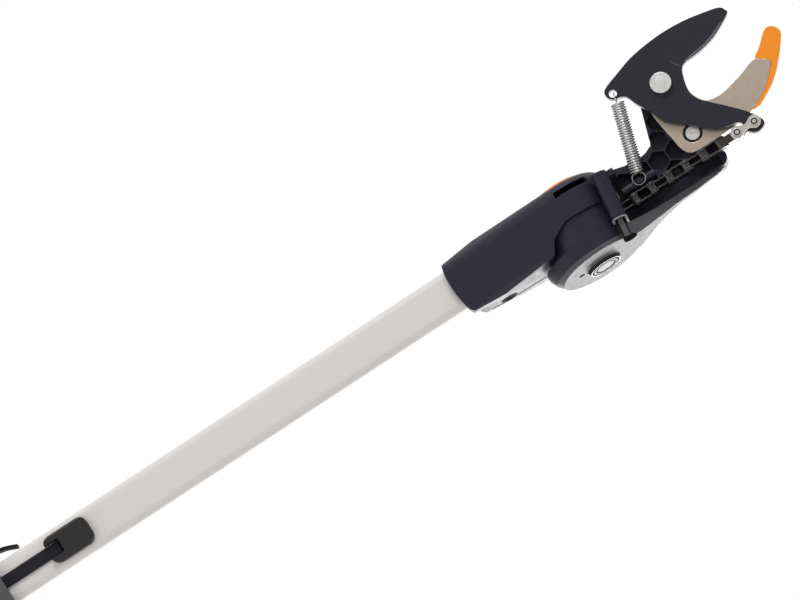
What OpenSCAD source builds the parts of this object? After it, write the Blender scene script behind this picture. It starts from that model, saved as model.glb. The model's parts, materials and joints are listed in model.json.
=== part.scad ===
// Long-reach tree pruner: a pole, a chain-driven hook-and-blade head on a swivel,
// a sliding pull grip and a pull knob at the butt. +Z runs up the pole, the broad
// front face looks along -Y and the origin is the flat butt of the pull knob.

/* [Pole] */
// Height of the swivel axis above the butt
swivel_z = 1408; // [1300:1:2400]
// Width of the pole tube, across X
pole_w = 28.5; // [26:0.5:31]
// Depth of the pole tube, across Y
pole_d = 22; // [20:0.5:23.5]
// Outer corner radius of the pole tube
pole_r = 5.3; // [4:0.1:7]
// Wall of the pole tube
pole_wall = 1.5; // [1:0.1:2]
// Height of the lower end of the tube above the butt
pole_bottom = 50; // [48:1:70]
// Gap between the tube and the parts that slide on it
slide_gap = 0.4; // [0.3:0.05:0.6]

/* [Housing] */
// Height of the housing below the swivel axis
housing_drop = 86; // [80:1:100]
// Width of the housing on each side of the pole
housing_side = 6.55; // [5.8:0.05:8]
// Width of the housing's lower end on each side of the pole
housing_end_side = 3.45; // [3:0.05:5]
// Front of the housing's lower end, in front of the pole's middle
housing_front_y = 15; // [14:0.2:17]
// Back of the housing's lower end, behind the pole's middle
housing_back_y = 13.4; // [12.8:0.2:15]
// Corner radius of the housing's front
housing_r = 8; // [6:0.5:10]
// Radius of the crisp edge between the housing's front and its right side
housing_edge_r = 2; // [1.5:0.1:3]
// Lean of the housing's right side, further out at the front
housing_flare = 1.8; // [1:0.1:2.2]
// Corner radius of the housing's back
housing_back_r = 3; // [2:0.2:4]
// Radius of the lower corners of the core and the rear cover
core_round = 16; // [10:0.5:18]
// Depth of the core band between the two covers
core_d = 15.2; // [12:0.2:18]
// Step from the covers in to the core band
core_step = 0.3; // [0.2:0.1:1]
// Depth of the pole in the housing
pole_socket = 46; // [38:1:48]
// Radius of the round arm about the swivel axis
arm_r = 30.6; // [30:0.1:32]
// Left end of the arm
arm_left = -17.2; // [-18:0.2:-16.4]
// Face of the arm towards the head
arm_right = 8; // [7.5:0.1:8.5]
// Rounding of the left end of the arm
arm_round = 10; // [6:0.5:11]
// Rounding of the right end of the arm
arm_edge = 3; // [2:0.5:6]
// Radius of the spool chamber in the arm
chamber_r = 25.5; // [24.6:0.1:27]

/* [Swivel] */
// Radius of the swivel bolt
axle_r = 4; // [3.5:0.1:4.5]
// Radius of the head of the swivel bolt
axle_head_r = 9.5; // [8:0.5:11]
// Clearance of a turning fit, on the radius
fit = 0.06; // [0.03:0.01:0.09]
// Gap between the arm and the head drum
swivel_gap = 0.3; // [0.2:0.05:0.5]
// Radius of the head drum
drum_r = 28.8; // [28:0.1:29]
// Width of the head drum along the axis
drum_w = 27.4; // [27:0.2:29]
// Radius of the chamber in the head drum
drum_chamber_r = 25; // [24.5:0.1:25.6]
// Radius of the orange lock button
button_r = 19.6; // [17:0.2:20]
// Height of the lock button above the arm
button_h = 1.9; // [1.5:0.1:3]
// Travel of the lock button
button_press = 1.5; // [1:0.1:1.8]

/* [Winding drum] */
// Radius at which the strap winds
strap_wind_r = 20.5; // [18:0.5:21]
// Radius of the chain groove's floor
chain_hub_r = 6; // [5.6:0.1:6.1]
// Radius of the chain groove's flanges
chain_flange_r = 14; // [12:0.5:16]

/* [Strap] */
// Width of the webbing strap
strap_w = 8.4; // [7:0.1:9]
// Thickness of the strap
strap_t = 1.3; // [1:0.05:1.4]
// Width of the strap guide
guide_w = 19; // [17:0.5:21]
// Length of the strap guide
guide_l = 31; // [28:1:36]
// Height of the strap guide over the pole face
guide_h = 4.6; // [3.6:0.1:6]
// Lower end of the upper guide below the swivel axis
guide_drop = 389; // [380:1:400]
// Lower end of the lower guide below the grip
low_guide_drop = 160; // [150:1:200]

/* [Grip] */
// Length of the pull grip
grip_l = 160; // [140:1:180]
// Top of the grip below the upper strap guide
grip_gap = 33; // [26:1:60]
// Width of the grip's collars
grip_w = 42; // [40:0.5:46]
// Depth of the grip's collars
grip_d = 37; // [35:0.5:40]
// Thickness of the soft sleeve
sleeve_t = 2.5; // [2:0.1:3]
// Height of the upper collar
collar_top = 26; // [22:1:32]
// Height of the lower collar
collar_bottom = 18; // [14:1:24]

/* [Knob] */
// Radius of the ball of the pull knob
knob_r = 23; // [20:0.5:26]
// Radius of the flat butt of the knob
butt_r = 12; // [9:0.5:14]
// Radius of the knob's stem
stem_r = 5; // [4:0.1:6]
// Height of the top of the stem
stem_top = 270; // [240:1:300]

/* [Jaws] */
// Thickness of the cutting blade
blade_t = 4; // [3:0.1:4.2]
// Thickness of the hook plate
hook_t = 4; // [3:0.1:4.2]
// Gap between the blade and the hook plate
jaw_gap = 0.2; // [0.15:0.05:0.4]
// Distance of the blade's middle plane in front of the swivel axis
blade_y = 10.8; // [10.6:0.1:11]
// Sideways place of the blade's pivot
pivot_x = -37.7; // [-40:0.1:-36]
// Height of the blade's pivot above the swivel axis
pivot_z = 91.7; // [90:0.1:94]
// Radius of the pivot bolt's shank
pivot_r = 4; // [3.5:0.1:4.5]
// Radius of the pivot bolt's head
pivot_head_r = 6.8; // [6:0.1:8]
// Radius of the hook screw's head
screw_head_r = 4.6; // [4:0.1:5]
// Thickness of the orange hook tip over the plate
tip_skin = 1.6; // [1.2:0.1:2]

/* [Chain] */
// Pitch of the chain
pitch = 12.7; // [12.6:0.05:12.8]
// Sideways place of the chain
chain_x = 16.2; // [16:0.1:16.4]
// Height of the chain plates
plate_h = 8.6; // [8:0.1:8.8]
// Thickness of one chain plate
plate_t = 1; // [0.8:0.05:1.1]
// Width between the inner plates
chain_in_w = 3.4; // [3:0.1:3.6]
// Radius of the rollers
roller_r = 3.8; // [3.4:0.1:4]
// Radius of the chain pins
pin_r = 1.8; // [1.6:0.1:2]
// Height of the lowest chain pin above the swivel axis
chain_low = 25.1; // [24:0.1:26]

/* [Spring] */
// Outer diameter of the spring coil
coil_d = 9; // [8.4:0.1:9.4]
// Diameter of the spring wire
wire_d = 0.9; // [0.7:0.05:1]
// Number of curls
curls = 28; // [25:1:29]
// Radius of the spring's rod
post_r = 3; // [2.6:0.1:3.2]
// Radius of the peg on the rod
peg_r = 2; // [1.6:0.1:2.2]
// Sideways place of the rod
post_x = 7; // [6.6:0.1:7.2]
// Height of the spring's eye above the swivel axis
eye_z = 46.7; // [45:0.1:48]

/* [Lock] */
// Radius of the lock barrel across the head
barrel_r = 5; // [4.6:0.1:5.2]
// Radius of the lock pin in the barrel
lock_r = 2.6; // [2.2:0.1:3]
// Lean of the barrel, degrees
barrel_lean = 8; // [4:0.5:10]

/* [Hidden] */
$fn = 48;

front = -pole_d / 2;
housing_bottom = swivel_z - housing_drop;
housing_w = pole_w + 2 * housing_side;
housing_end_w = pole_w + 2 * housing_end_side;
pole_top = housing_bottom + pole_socket;
drum_left = arm_right + swivel_gap;
drum_right = drum_left + drum_w;
guide_bottom = swivel_z - guide_drop;
grip_top = guide_bottom - grip_gap;
grip_bottom = grip_top - grip_l;
low_guide_bottom = grip_bottom - low_guide_drop;
strap_front = front - strap_t;
plug_flange = 6;
slot_w = strap_w + 1.2;
strap_in_y = front + pole_wall + strap_t / 2 + 0.4;

// Depths of the jaw stack, front to back
blade_front = -blade_y - blade_t / 2;
blade_back = blade_front + blade_t;
hook_front = blade_back + jaw_gap;
hook_back = hook_front + hook_t;
frame_front = hook_back + 0.2;
frame_back = frame_front + 10.4;

// Main points of the head in X and height over the swivel axis
pivot = [pivot_x, pivot_z];
tail = [chain_x, chain_low + 7 * pitch + 12.3];
yoke = tail - [0, pitch];
ear = pivot + [-11.7, -28.4];
hook_hold = pivot + [36.9, -0.6];

// Chain widths across X
inner_w = chain_in_w + 2 * plate_t;
outer_w = inner_w + 2 * plate_t + 0.2;
pin_w = outer_w + 0.6;

// Spring axis, from the eye on the post to the ear of the blade
spring_from = [post_x, eye_z];
spring_vec = ear + [0, 0.6] - spring_from;
spring_len = norm(spring_vec);
spring_turn = atan2(spring_vec[1], spring_vec[0]);
wire_r = wire_d / 2;
coil_r = coil_d / 2 - wire_r;

// Barrel axis of the lock
barrel_y = -26.8;
barrel_z = 24.6;
barrel_x = 9;
barrel_from = -16;
barrel_to = 16;

// Points along an arc in a plane
function arc(c, r, a0, a1, n) = [for (i = [0:n]) c + r * [cos(a0 + (a1 - a0) * i / n),
    sin(a0 + (a1 - a0) * i / n)]];
// One point of a smooth curve through four points
function curve_at(a, b, c, d, t) = 0.5 * (2 * b + (c - a) * t + (2 * a - 5 * b + 4 * c - d) * t * t
    + (3 * b - a - 3 * c + d) * t * t * t);
// Closed smooth curve through the points
function smooth(p, n = 4) = let (k = len(p)) [for (i = [0:k - 1], j = [0:n - 1])
    curve_at(p[(i + k - 1) % k], p[i], p[(i + 1) % k], p[(i + 2) % k], j / n)];
// Normal of a path at one point
function path_normal(p, i) = let (a = p[max(i - 1, 0)], b = p[min(i + 1, len(p) - 1)], d = (b - a)
    / norm(b - a))
    [-d[1], d[0]];
// Outline of a band of even thickness along a path
function band(p, t) = concat([for (i = [0:len(p) - 1]) p[i] + path_normal(p, i) * t / 2],
    [for (i = [len(p) - 1:-1:0]) p[i] - path_normal(p, i) * t / 2]);

// Rectangle with round corners
module round_rect(w, d, r) {
    square([w - 2 * r, d], center = true);
    square([w, d - 2 * r], center = true);
    for (x = [-1, 1], y = [-1, 1]) translate([x * (w / 2 - r), y * (d / 2 - r)]) circle(r);
}
// Outline in X and Z, drawn out from y0 to y1
module along_y(y0, y1) { translate([0, y1, 0]) rotate([90, 0, 0]) linear_extrude(y1 - y0) children(); }
// Outline in Y and Z, drawn out from x0 to x1
module along_x(x0, x1) { translate([x0, 0, 0]) rotate([90, 0, 90]) linear_extrude(x1 - x0) children(); }
// Round bar along X
module bar_x(x0, x1, r, y = 0, z = 0) { translate([x0, y, z]) rotate([0, 90, 0]) cylinder(h = x1 - x0,
    r = r); }
// Round bar along Y
module bar_y(y0, y1, r, x = 0, z = 0) { translate([x, y0, z]) rotate([-90, 0, 0]) cylinder(h = y1 - y0,
    r = r); }
// Outline of radius and X, turned about the X axis
module turned_x(a = 360, from = 0) { rotate([0, 90, 0]) rotate([0, 0, from]) rotate_extrude(angle = a)
    children(); }
// Block between two corners
module block(a, b) { translate(a) cube(b - a); }
// The swivel axis becomes the origin
module at_swivel() { translate([0, 0, swivel_z]) children(); }
// Pole section drawn out between two heights
module pole_bar(z0, z1, grow) {
    translate([0, 0, z0]) linear_extrude(z1 - z0)
        round_rect(pole_w + 2 * grow, pole_d + 2 * grow, max(pole_r + grow, 1));
}
// Cross recess of a screw that looks along +Z
module cross_cut(size, deep) {
    for (a = [0, 90]) rotate([0, 0, a]) cube([size, size / 4, 2 * deep], center = true);
}

// Slot for the strap in the front wall of the tube
module strap_slot(z0, z1) { block([-slot_w / 2, front - 1, z0], [slot_w / 2, front + pole_wall + 1,
    z1]); }

module pole_tube() {
    color("gainsboro") difference() {
        pole_bar(pole_bottom, pole_top, 0);
        pole_bar(pole_bottom - 1, pole_top + 1, -pole_wall);
        strap_slot(guide_bottom + 6, guide_bottom + 22);
        strap_slot(low_guide_bottom + guide_l - 22, low_guide_bottom + guide_l - 6);
    }
}

// One rounded slice of the housing
module housing_slice(z, w, y0, y1) {
    translate([housing_r - w / 2, y0 + housing_r, housing_bottom + z]) cylinder(h = 1, r = housing_r,
        $fn = 24);
    translate([w / 2 + housing_flare - housing_edge_r, y0 + housing_edge_r, housing_bottom + z])
        cylinder(h = 1, r = housing_edge_r, $fn = 24);
    for (x = [-1, 1]) translate([x * (w / 2 - housing_back_r), y1 - housing_back_r, housing_bottom + z])
        cylinder(h = 1, r = housing_back_r, $fn = 24);
}
// The two lower slices of the housing, which the round arm grows from
module housing_foot(inset) {
    housing_slice(-4, housing_end_w - 2 * inset, -housing_front_y, housing_back_y);
    housing_slice(24, housing_w - 2 * inset - 1, -housing_front_y - 1.6, housing_back_y + 0.6);
}
// Lower edge of the housing, bowed downwards, with round corners
foot_half = housing_end_w / 2 + housing_flare;
foot_corner_r = 4;
module bowed_cut() {
    bow = 4;
    half = housing_w / 2 + housing_flare;
    bow_r = (half * half + bow * bow) / (2 * bow);
    corner_x = foot_half + 0.7 - foot_corner_r;
    swing = asin(corner_x / (bow_r - foot_corner_r));
    corner_z = bow_r - bow / 2 - (bow_r - foot_corner_r) * cos(swing);
    translate([0, 0, housing_bottom]) along_y(-60, 60) polygon(concat(
        arc([-corner_x, corner_z], foot_corner_r, 185, 270 - swing, 8),
        arc([0, bow_r - bow / 2], bow_r, 270 - swing + 1, 270 + swing - 1, 16),
        arc([corner_x, corner_z], foot_corner_r, 270 + swing, 355, 8),
        [[60, 30], [60, 160], [-60, 160], [-60, 30]]));
}

// Lower edge of the core and the rear cover, with round corners
module rounded_cut() {
    x = foot_half + 0.7 - core_round;
    translate([0, 0, housing_bottom + 2]) along_y(-60, 60) polygon(concat(arc([-x, core_round],
        core_round, 185, 270, 12), arc([x, core_round], core_round, 270, 355, 12),
        [[60, 30], [60, 160], [-60, 160], [-60, 30]]));
}

// Round arm that carries the swivel bolt and the spool, with both ends rounded
module arm_solid(right_end) {
    long = right_end - arm_left;
    at_swivel() turned_x($fn = 36) translate([0, arm_left]) intersection() {
        square([arm_r, long]);
        hull() {
            square([arm_r - arm_round, long]);
            translate([arm_r - arm_round, arm_round]) circle(arm_round);
            translate([arm_r - arm_edge, long - arm_edge]) circle(arm_edge);
        }
    }
}

// Whole outer form of the housing: a smooth ramp from the pole to the arm
module housing_solid(inset) {
    intersection() {
        hull() {
            housing_foot(inset);
            arm_solid(housing_w / 2 - inset);
        }
        bowed_cut();
    }
}

// Room for the head drum, open above a slanted edge
lip_gap = 0.5;
lip_top = -7;
lip_bend = [13, -18.3];
lip_low = -24.5;
module drum_room() {
    bar_x(arm_right, housing_w, drum_r + lip_gap);
    along_y(-60, 60) polygon([[arm_right, 60], [arm_right, lip_top], lip_bend, [housing_w / 2 +
        housing_flare, lip_low], [60, lip_low], [60, 60]]);
}

// Path of the strap from the upper guide, up the tube and round the spool
strap_rise = pole_top - swivel_z;
strap_foot = [strap_in_y + 0.4, strap_rise - 0.5];
foot_turn = atan2(-strap_foot[0], -strap_foot[1]);
touch_turn = foot_turn + acos(strap_wind_r / norm(strap_foot));
strap_path = concat([[strap_front + 0.2, guide_bottom + 10 - swivel_z], [strap_in_y,
    guide_bottom + 19 - swivel_z],
    [strap_in_y, guide_bottom + 30 - swivel_z], [strap_in_y + 0.4, strap_rise - 30], strap_foot],
    [for (i = [0:16]) let (a = touch_turn + i * 12) strap_wind_r * [-sin(a), -cos(a)]]);

// All that is hollow in the housing
module housing_hollow() {
    pole_bar(housing_bottom - 10, pole_top + 0.2, 0.05);
    at_swivel() bar_x(arm_left + 5, arm_right + 1, chamber_r);
    at_swivel() along_x(-slot_w / 2, slot_w / 2) polygon([[strap_in_y - 1.2, strap_rise - 1], [-17.5,
        -17],
        [0, -17], [5, strap_rise - 1]]);
    at_swivel() bar_x(arm_left - 1, arm_right + 1, axle_r);
    at_swivel() drum_room();
    at_swivel() bar_x(arm_left - 5, arm_left + button_press + 0.9, button_r + 0.4);
    at_swivel() scale_slot();
    housing_screw_holes();
    cover_screw_holes();
}
// Curved window in the front of the arm
module scale_slot() {
    turned_x(46, 231) translate([chamber_r - 1, scale_from]) square([arm_r - chamber_r + 4, scale_w]);
}
scale_from = -11.6;
scale_w = 4;

housing_screw_z = housing_bottom + 25;
housing_screw_y = 2.6;
screw_dish = 0.6;
module housing_screw_holes() {
    for (s = [-1, 1]) {
        x0 = s * (housing_w / 2 - 3.4);
        translate([x0, housing_screw_y, housing_screw_z]) rotate([0, s * 90, 0]) cylinder(h = 9, r1 = 4,
            r2 = 4 + 9 * screw_dish);
        translate([x0, housing_screw_y, housing_screw_z]) rotate([0, s * -90, 0]) cylinder(h = 1.4, r =
            1.5);
    }
}
module housing_screws() {
    color("silver") for (s = [-1, 1])
        translate([s * (housing_w / 2 - 3.4), housing_screw_y, housing_screw_z]) rotate([0, s * 90, 0])
            difference() {
            union() {
                cylinder(h = 1.8, r = 3);
                translate([0, 0, -1.3]) cylinder(h = 1.4, r = 1.5);
            }
            translate([0, 0, 1.8]) cross_cut(3.4, 0.8);
        }
}

// Screws from the back that hold the two covers on the core
cover_screw_x = 11;
cover_screw_z = (pole_top + swivel_z - chamber_r) / 2;
cover_screw_places = [for (s = [-1, 1]) [s * cover_screw_x, cover_screw_z]];
cover_screw_seat = housing_back_y - 1.4;
module cover_screw_holes() {
    for (p = cover_screw_places) {
        bar_y(cover_screw_seat, housing_back_y + 20, 2.6, p[0], p[1]);
        bar_y(-housing_front_y + 2, cover_screw_seat + 1, 1.4, p[0], p[1]);
    }
}
module cover_screws() {
    color("silver") for (p = cover_screw_places) difference() {
        union() {
            bar_y(cover_screw_seat, cover_screw_seat + 1.8, 2.5, p[0], p[1]);
            bar_y(-housing_front_y + 3, cover_screw_seat + 0.1, 1.38, p[0], p[1]);
        }
        translate([p[0], cover_screw_seat + 1.8, p[1]]) rotate([90, 0, 0]) cross_cut(3, 0.7);
    }
}

module housing_core() {
    color("dimgray") difference() {
        intersection() {
            housing_solid(core_step);
            rounded_cut();
            block([-40, -core_d / 2, 0], [40, core_d / 2, swivel_z + 60]);
        }
        housing_hollow();
    }
}
module housing_front() {
    color("darkslategray") difference() {
        intersection() {
            housing_solid(0);
            block([-40, -60, 0], [40, -core_d / 2, swivel_z + 60]);
        }
        housing_hollow();
    }
}
module housing_rear() {
    color("darkslategray") difference() {
        intersection() {
            housing_solid(0);
            rounded_cut();
            block([-40, core_d / 2, 0], [40, 60, swivel_z + 60]);
        }
        housing_hollow();
    }
}

nut_h = 3;
bolt_seat = drum_right - 0.6;
bolt_head_h = 3.4;
bolt_room = 0.5;
module axle_bolt() {
    color("silver") at_swivel() difference() {
        union() {
            bar_x(arm_left + 0.6, bolt_seat + 1, axle_r - 0.01);
            bar_x(bolt_seat, bolt_seat + bolt_head_h, axle_head_r);
        }
        turned_x() translate([6, bolt_seat + bolt_head_h - 0.7]) square([1, 2]);
    }
}
module axle_nut() {
    color("silver") at_swivel() difference() {
        bar_x(arm_left + 5.1, arm_left + 5.1 + nut_h, 7, 0, 0, $fn = 6);
        bar_x(arm_left, arm_left + 20, axle_r);
    }
}

// Rounded guide with a short slot at one end and a channel for the strap under it
guide_slot = 10;
channel_h = 2.2;
rivet_deep = 2.6;
module guide_form() {
    difference() {
        along_y(front - guide_h, front) translate([0, guide_l / 2]) round_rect(guide_w, guide_l, 6);
        block([-slot_w / 2, front - guide_h - 1, -1], [slot_w / 2, front + 1, guide_slot]);
        block([-slot_w / 2, front - channel_h, -1], [slot_w / 2, front + 1, guide_slot + 7]);
        translate([0, 0, guide_l - 5]) bar_y(front - rivet_deep, front + 1, 1.5);
        for (s = [-1, 1]) translate([s * guide_w / 2, front - guide_h, -1]) rotate([0, 0, 45])
            cube([2.6, 2.6, 3 * guide_l], center = true);
    }
}
module strap_guide() { color("black") translate([0, 0, guide_bottom]) guide_form(); }
module low_strap_guide() {
    color("black") translate([0, 0, low_guide_bottom + guide_l]) mirror([0, 0, 1]) guide_form();
}
module guide_rivets() {
    color("silver") for (z = [guide_bottom + guide_l - 5, low_guide_bottom + 5])
        bar_y(front - rivet_deep + 0.1, front, 1.45, 0, z);
}

module strap_inner() {
    color("dimgray") at_swivel() along_x(-strap_w / 2, strap_w / 2) polygon(band(strap_path, strap_t));
}
module strap_outer() {
    color("dimgray") block([-strap_w / 2, strap_front - 0.3, grip_top - 22], [strap_w / 2, front - 0.3,
        guide_bottom + 9]);
}
module low_strap_outer() {
    color("dimgray") block([-strap_w / 2, strap_front - 0.3, low_guide_bottom + guide_l - 9],
        [strap_w / 2, front - 0.3, grip_bottom + 14]);
}

module pole_plug() {
    color("black") difference() {
        union() {
            pole_bar(pole_bottom - plug_flange, pole_bottom, 1.5);
            pole_bar(pole_bottom - 1, pole_bottom + 26, -pole_wall - 0.02);
        }
        translate([0, 0, pole_bottom - 20]) cylinder(h = 60, r = stem_r + fit);
    }
}
knob_top = pole_bottom - plug_flange - 0.3;
module pull_knob() {
    color("darkorange") difference() {
        rotate_extrude() intersection() {
            union() {
                translate([0, sqrt(knob_r * knob_r - butt_r * butt_r)]) circle(knob_r);
                translate([-9, 0]) square([18, knob_top]);
            }
            square([60, knob_top]);
        }
        translate([0, 0, 8]) cylinder(h = 60, r = stem_r);
    }
}
head_w = pole_w - 2 * pole_wall - 2 * slide_gap - 4;
head_d = pole_d - 2 * pole_wall - 2 * slide_gap;
module knob_stem() {
    color("gray") difference() {
        union() {
            translate([0, 0, 8]) cylinder(h = stem_top - 8, r = stem_r - 0.01);
            block([-head_w / 2, -head_d / 2, stem_top - 16], [head_w / 2, head_d / 2, stem_top]);
        }
        block([-strap_w / 2 - 0.1, strap_in_y - 0.1, stem_top - 12], [strap_w / 2 + 0.1,
            strap_in_y + strap_t + 0.1, stem_top + 1]);
    }
}
module low_strap_inner() {
    color("dimgray") block([-strap_w / 2, strap_in_y, stem_top - 12],
        [strap_w / 2, strap_in_y + strap_t, low_guide_bottom + guide_l - 10]);
}

// Outer outline of the grip's core
module grip_outline(grow) { round_rect(grip_w - 2 * sleeve_t - 1 + grow,
    grip_d - 2 * sleeve_t - 1 + grow, 10 + grow / 2); }
module grip_core() {
    color("dimgray") difference() {
        union() {
            translate([0, 0, grip_bottom]) linear_extrude(grip_l) grip_outline(0);
            translate([0, 0, grip_top - collar_top]) linear_extrude(collar_top) round_rect(grip_w,
                grip_d, 12);
            translate([0, 0, grip_bottom]) linear_extrude(collar_bottom) round_rect(grip_w, grip_d, 12);
        }
        pole_bar(grip_bottom - 1, grip_top + 1, slide_gap);
        for (z = [grip_top - 24, grip_bottom - 1])
            block([-slot_w / 2, strap_front - 0.8, z], [slot_w / 2, front, z + 25]);
        for (z = grip_screw_z) bar_y(-grip_d, strap_front - 0.7, 3.6, 0, z);
    }
}
grip_screw_z = [grip_top - 12, grip_bottom + 8];
module grip_sleeve() {
    color("darkorange") translate([0, 0, grip_bottom + collar_bottom])
        linear_extrude(grip_l - collar_top - collar_bottom)
        difference() {
            grip_outline(2 * sleeve_t);
            grip_outline(0);
        }
}
// Loose tail of webbing at the left of the grip's upper collar
tail_t = 2;
tail_w = 8;
tail_path = [for (p = [[1.05, -14], [1.1, -4], [1.1, 3], [-0.3, 10.5], [-3.5, 18.4]])
    [-grip_w / 2 - p[0], grip_top + p[1]]];
module grip_tail() { color("dimgray") along_y(-tail_w + 1, 1) polygon(band(tail_path, tail_t)); }
module grip_screws() {
    color("silver") for (z = grip_screw_z) translate([0, -grip_d / 2 + 0.6, z]) rotate([-90, 0, 0])
        difference() {
        cylinder(h = grip_d / 2 + strap_front - 1.5, r = 3.55);
        cross_cut(4, 1);
    }
}

// Pivot and lock pieces of the arm
module lock_button() {
    color("darkorange") at_swivel() difference() {
        turned_x() difference() {
            translate([0, arm_left - button_h]) square([button_r, button_h + 0.8]);
            translate([button_r - 1.2, arm_left - button_h - 0.1]) square([2, 1]);
        }
        bar_x(arm_left - 20, arm_left + 3, axle_r + 2);
    }
}

spool_half = strap_w / 2 + 1;
flange_x = drum_right - 10.4;
module winding_drum() {
    color("gray") at_swivel() difference() {
        union() {
            bar_x(-spool_half, spool_half, strap_wind_r - strap_t / 2 - 0.3);
            for (s = [-1, 1]) bar_x(s * (spool_half + 0.75) - 0.75, s * (spool_half + 0.75) + 0.75,
                strap_wind_r + 3);
            bar_x(spool_half, flange_x + 2, chain_hub_r);
            bar_x(flange_x, flange_x + 2, chain_flange_r);
        }
        bar_x(-40, 60, axle_r + fit);
    }
}

// Outline of the bracket between the drum and the jaws
wall_x = chain_x + 10.4;
module bracket_outline() {
    corner_r = 6;
    polygon(concat([[wall_x, 8]], arc([wall_x - corner_r, tail[1] - 25 - corner_r], corner_r, 0, 90, 6),
        [hook_hold + [6, 12], pivot + [12, 10.5]], arc(pivot, 11.5, 65, 235, 10),
        [pivot + [3, -18.2], pivot + [23, -25], pivot + [28, -27.5], pivot + [30, -32], pivot + [30.6,
            -37],
        pivot + [29.6, -47], pivot + [26, -60], [post_x - 8, 20], [drum_left, 8]]));
}

// Honeycomb pockets in the bracket
hex_step = 12.8;
hex_rib = 1;
hex_deep = 7.4;
hex_from = [1, 64];
hex_cells = [[0, -2], [0, -1], [0, 0], [0, 1], [1, 0], [-1, 0], [-2, 1]];
function hex_place(c) = hex_from + hex_step * [c[0] * cos(30), c[1] + (c[0] % 2 == 0 ? 0 : 0.5)];
module hex_pockets() {
    for (c = hex_cells) let (p = hex_place(c))
        bar_y(frame_front - 1, frame_front + hex_deep, (hex_step - hex_rib) / sqrt(3), p[0], p[1],
            $fn = 6);
}

// Slanted barrel across the front of the drum
module on_barrel() { translate([barrel_x, barrel_y, barrel_z]) rotate([0, barrel_lean, 0]) children(); }
saddle_x = 22.6;
module barrel_solid() {
    on_barrel() bar_x(barrel_from, barrel_to, barrel_r);
    intersection() {
        rotate([47, 0, 0]) block([saddle_x, -3.2, drum_r - 2], [saddle_x + 3, 3.2, 37]);
        block([saddle_x, -barrel_r * 8, 0], [saddle_x + 3, 0, barrel_z + 2]);
    }
    block([-5.6, barrel_y, 27], [-1.6, frame_front + 2, 36]);
}

// Round belly low on the drum, clear of the housing's right side
belly_gap = 1.5;
belly_left = housing_w / 2 + housing_flare + belly_gap;
belly_r = 27.6;
belly_drop = 6.6;
module drum_belly() {
    long = drum_right - belly_left;
    hull() {
        bar_x(belly_left, belly_left + 0.3 * long, belly_r, 0, -belly_drop);
        bar_x(belly_left, belly_left + 0.68 * long, belly_r, 0, -0.7 * belly_drop);
        bar_x(belly_left, drum_right, drum_r);
    }
}

module head_frame() {
    color("darkslategray") at_swivel() difference() {
        union() {
            bar_x(drum_left, drum_right - 3, drum_r);
            intersection() {
                drum_belly();
                bar_x(drum_left, drum_right - 3, 2 * drum_r);
            }
            along_y(frame_front, frame_back) bracket_outline();
            barrel_solid();
        }
        bar_x(drum_left - 1, drum_right - 6, drum_chamber_r);
        bar_x(-80, drum_left, arm_r + 0.6);
        bar_x(0, 60, axle_r + fit);
        block([chain_x - 6.2, -17, 0], [wall_x - 1.2, -3, 40]);
        block([post_x + 4.6, frame_front - 1, drum_r + 2], [wall_x - 1.4, frame_back - 3, tail[1] - 30]);
        hex_pockets();
        bar_y(frame_front - 1, frame_back + 1, pivot_r, pivot[0], pivot[1]);
        bar_y(frame_front - 1, frame_back + 1, 2.5, hook_hold[0], hook_hold[1]);
        on_barrel() bar_x(barrel_from + 4, barrel_to + 8, lock_r + fit);
    }
}

// Side plate: the disc on the drum and the tapered wall of the chain trough
neck_front = [[-16.5, 23.6], [-11.5, 33], [-8.6, 42], [-6.2, 56], [-5.5, 68], [-4, 84], [-2, 94]];
neck_rear = [[-0.5, 93], [-2, 78], [-1, 62], [2, 48], [8.5, 36], [14, 29], [16.5, 23.6]];
// Collar round the head of the swivel bolt, with a hollow foot
module bolt_collar() {
    inner = axle_head_r + bolt_room;
    rim = inner + 0.9;
    high = bolt_head_h - 0.6;
    polygon(concat([[inner, -0.5], [inner, high]], arc([rim + high, high], high, 180, 270, 8),
        [[rim + high, -0.5]]));
}
// Round dimple in the disc, below the bolt
dimple_r = 2.1;
dimple_at = [-1.9, -15.6];
module drum_cover() {
    taper = drum_right - wall_x;
    color("dimgray") at_swivel() difference() {
        union() {
            intersection() {
                drum_belly();
                bar_x(drum_right - 3, drum_right, 2 * drum_r);
            }
            turned_x() translate([0, drum_right]) bolt_collar();
            intersection() {
                along_x(drum_left, drum_right) polygon(concat(neck_front, [[-1.2, 97]], neck_rear, [[0,
                    10]]));
                along_y(-40, 40) polygon([[wall_x, 10], [drum_right, 10], [drum_right, 27],
                    [wall_x + 0.72 * taper, 42],
                    [wall_x + 0.5 * taper, 58], [wall_x + 0.42 * taper, 74], [wall_x + 0.24 * taper, 90],
                    [wall_x + 0.1, 97.5], [wall_x, 97.5]]);
            }
        }
        bar_x(0, drum_right - 3, drum_r);
        bar_x(0, 60, axle_r + fit);
        bar_x(bolt_seat, 60, axle_head_r + bolt_room);
        bar_x(drum_right - 0.8, drum_right + 1, dimple_r, dimple_at[0], dimple_at[1]);
    }
}

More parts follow.
